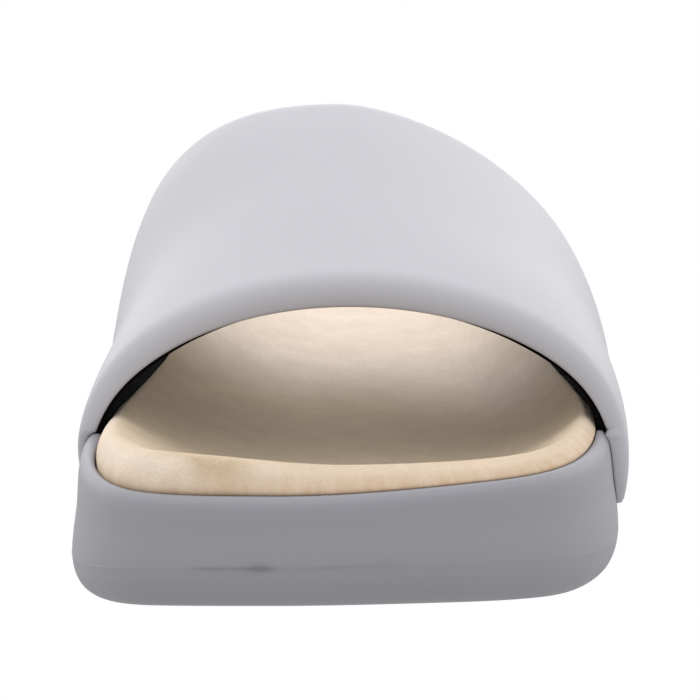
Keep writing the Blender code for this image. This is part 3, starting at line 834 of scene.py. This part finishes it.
def rounded_edge(inner, outer, out_of_edge, most=np.inf):
    """From the outer face into the wall by the nose's depth, and out of the edge by what it stands out."""
    depth, out = (values[None, :, None] for values in nose(EDGE_COLUMNS))
    reach = standing_out(inner, outer, out_of_edge, most)
    return outer[:, None] + (inner - outer)[:, None] * depth + reach[:, None] * out


def off_the_wall(sections, ways):
    """Moves the edges of the strap's feet out to the sole's wall where they would lie in it."""
    for row in np.flatnonzero(from_foot(ways) < RIM_WAY):
        wall = wall_across(ways[row], sections[row, :, 1] + SOLE_LENGTH / 2) - BOX_MIDDLE_ACROSS
        clear = np.minimum if ways[row] < INSTEP_WAY else np.maximum
        sections[row, :, 0] = clear(sections[row, :, 0], wall)
    return sections


def strap_surface(ways, outer, inner):
    """Closed sections of the band, row by row, ended by rows that shrink to the middle of the wall."""
    back = np.gradient(outer, axis=1)
    rear = rounded_edge(inner[:, -1], outer[:, -1], back[:, -1], strap_at("rear thickness", ways))[:, ::-1]
    front = rounded_edge(inner[:, 0], outer[:, 0], -back[:, 0])
    sections = off_the_wall(np.concatenate([inner, rear, outer[:, ::-1], front], axis=1), ways)
    middle = (inner + outer) / 2
    ends = [middle[:, -1:].repeat(EDGE_COLUMNS, axis=1), middle[:, :1].repeat(EDGE_COLUMNS, axis=1)]
    shrunk = np.concatenate([middle, ends[0], middle[:, ::-1], ends[1]], axis=1)
    return np.concatenate([shrunk[:1], sections, shrunk[-1:]])


half_ways = np.concatenate([
    np.linspace(0, RIM_WAY * LIP_SHARE, WALL_ROWS), np.linspace(RIM_WAY, INSTEP_WAY, ARCH_ROWS)
])
ways = np.concatenate([half_ways, 1 - half_ways[-2::-1]])
outer_face = strap_outer(ways)
inner_face = strap_inner(ways, outer_face)
strap_points = strap_surface(ways, outer_face, inner_face)
piece_from(grid_mesh("strap_band", strap_points), strap_foam, "strap")

# %% [markdown]
# ## The lining
#
# The knit lies on the strap's inner face, from just over the sole's rim on one side to the other. It is a
# thin closed band: the inner face moved in by a hair, the same moved in by its thickness, and the edges
# between them.

# %% Lining surface
LINING_CLEAR = 0.12 * MM
LINING_THICK = 0.5 * MM
LINING_FROM = RIM_WAY * 1.02
# The lining reaches over the strap's edges by this share of the wall, by the way from the nearer foot.
LINING_REACH = ((0, 0.28, 0.4, 0.5), (0.9, 0.9, 0.7, 0.45))
# Its lower edges are tucked this far in from the widest outline, by the place along, in millimetres.
LINING_TUCK = ((56, 64, 80, 95, 118, 145), (5.4, 5.6, 7, 9.4, 11.4, 11.6))
TUCK_DEPTH = 0.3 * MM


def tucked_row(side, along):
    """The lining's lower edge: in from the widest outline by its tuck, and a little under the rim."""
    inward = through(along / MM, *LINING_TUCK) * MM
    across = edge_across(side, along, 0) + inward * (1 if side == "medial" else -1)
    flat = np.stack([across, along], axis=-1)
    return in_frame(flat, level_height(flat, 2.0) - TUCK_DEPTH)


run_back = np.gradient(outer_face, axis=1)
reach = through(from_foot(ways), *LINING_REACH)[:, None]
front_reach = standing_out(inner_face[:, 0], outer_face[:, 0], -run_back[:, 0]) * reach
rear_reach = standing_out(inner_face[:, -1], outer_face[:, -1], run_back[:, -1]) * reach
lining_side = np.concatenate([
    (inner_face[:, 0] + front_reach)[:, None], inner_face, (inner_face[:, -1] + rear_reach)[:, None]
], axis=1)
above_rim = from_foot(ways) > LINING_FROM
foot_side = -face_normals(lining_side)[above_rim]
lining_base = lining_side[above_rim] + foot_side * LINING_CLEAR
lining_face = lining_base + foot_side * LINING_THICK
lining_along = lining_base[..., 1] + SOLE_LENGTH / 2
tucked = [tucked_row("medial", lining_along[0]), tucked_row("lateral", lining_along[-1])]
lining_base = np.concatenate([tucked[:1], lining_base, tucked[1:]])
lining_face = np.concatenate([tucked[:1], lining_face, tucked[1:]])
lining_face[[0, -1], :, 2] += LINING_THICK
lining_sections = np.concatenate([lining_base, lining_face[:, ::-1]], axis=1)
lining_middle = (lining_base + lining_face) / 2
lining_ends = np.concatenate([lining_middle, lining_middle[:, ::-1]], axis=1)
lining_points = np.concatenate([lining_ends[:1], lining_sections, lining_ends[-1:]])
piece_from(grid_mesh("strap_lining", lining_points), black_knit)

# %% [markdown]
# ## Studio
#
# The sandal stands on a glowing white table inside a tent of white cloth, so no shadow falls on the ground.
# The tent is brightest behind the heel and a fifth weaker at the sides. Towards the camera it falls away to
# less than half, since that is its opening, so what faces the camera is the darkest. A sky whose strength
# follows two axes gives that.

# %% Glowing table
TOP_LIGHT = 1.5
TABLE_GLOW = 0.52
TABLE_REACH = 6.0
floor_corners = np.array([[-1, -1, 0], [1, -1, 0], [1, 1, 0], [-1, 1, 0]]) * TABLE_REACH
floor_mesh = bpy.data.meshes.new("table")
floor_mesh.from_pydata(floor_corners, [], [(0, 1, 2, 3)])
floor = bpy.data.objects.new("table", floor_mesh)
scene.collection.objects.link(floor)
glow_sheet = bpy.data.materials.new("glowing_white_table")
glow_sheet.use_nodes = True
sheet = glow_sheet.node_tree
sheet.nodes.clear()
seen_table = add(sheet, "ShaderNodeLightPath").outputs["Is Camera Ray"]
table_strength = add(sheet, "ShaderNodeMix", {0: seen_table, 2: TOP_LIGHT * TABLE_GLOW, 3: 1.0})
table_light = add(sheet, "ShaderNodeEmission", {"Color": (1, 1, 1, 1), "Strength": table_strength.outputs[0]})
add(sheet, "ShaderNodeOutputMaterial", {"Surface": table_light.outputs[0]})
floor_mesh.materials.append(glow_sheet)
print("table", TABLE_REACH * 2, "m")

# %% Tent light
# How bright the tent is, as a share of the light from above, from the camera's side to the far side.
TENT = {"towards heel": (-1, -0.8, -0.6, -0.4, 0, 1), "share": (0.42, 0.7, 0.94, 1.04, 1.03, 1.8)}
SIDE_FALL = 0.2
TENT_PEAK = max(TENT["share"])
BRIGHTEST = TENT_PEAK * TOP_LIGHT
world = bpy.data.worlds.new("white_tent")
scene.world = world
world.use_nodes = True
sky = world.node_tree
direction = add(sky, "ShaderNodeTexCoord").outputs["Generated"]
axes = add(sky, "ShaderNodeSeparateXYZ", {0: direction})
tent_place = add(sky, "ShaderNodeMapRange", {0: axes.outputs["Y"], 1: -1, 2: 1, 3: 0, 4: 1})
tent = add(sky, "ShaderNodeFloatCurve", {"Value": tent_place.outputs[0]})
tent_curve = tent.mapping.curves[0]
tent_points = [((y + 1) / 2, share / TENT_PEAK) for y, share in zip(TENT["towards heel"], TENT["share"])]
tent_curve.points[0].location = tent_points[0]
tent_curve.points[1].location = tent_points[-1]
for point in tent_points[1:-1]:
    tent_curve.points.new(*point)
tent.mapping.update()
aside = add(sky, "ShaderNodeMath", {0: axes.outputs["X"], 1: axes.outputs["X"]}, operation="MULTIPLY")
side_range = {0: aside.outputs[0], 3: BRIGHTEST, 4: BRIGHTEST * (1 - SIDE_FALL)}
side_share = add(sky, "ShaderNodeMapRange", side_range)
tent_glow = add(sky, "ShaderNodeMath", {0: tent.outputs[0], 1: side_share.outputs[0]}, operation="MULTIPLY")
seen = add(sky, "ShaderNodeLightPath").outputs["Is Camera Ray"]
strength = add(sky, "ShaderNodeMix", {0: seen, 2: tent_glow.outputs[0], 3: 1.0})
background = sky.nodes["Background"]
background.inputs["Color"].default_value = (1, 1, 1, 1)
sky.links.new(strength.outputs[0], background.inputs["Strength"])
scene.view_settings.view_transform = "Standard"
print("tent light set")

# %% [markdown]
# ## Camera
#
# The photograph looks along the sandal from the toe, a little from above, through a long lens. The camera
# stands a metre and a half from a point over the toes, and its focal length follows from how many pixels a
# metre covers there.

# %% Camera
ELEVATION = math.radians(12)
DISTANCE = 1.5
AIM = Vector((-BOX_MIDDLE_ACROSS, -0.060, 0.0425))
PIXELS_PER_METRE = 4740
IMAGE_PIXELS = 700
SENSOR_WIDTH = 36
camera_data = bpy.data.cameras.new("camera")
camera = bpy.data.objects.new("camera", camera_data)
scene.collection.objects.link(camera)
towards_camera = Vector((0, -math.cos(ELEVATION), math.sin(ELEVATION)))
camera.location = AIM + towards_camera * DISTANCE
camera.rotation_euler = (-towards_camera).to_track_quat("-Z", "Y").to_euler()
camera_data.sensor_width = SENSOR_WIDTH
camera_data.lens = SENSOR_WIDTH * PIXELS_PER_METRE * DISTANCE / IMAGE_PIXELS
scene.camera = camera
print("lens", round(camera_data.lens, 1), "mm")
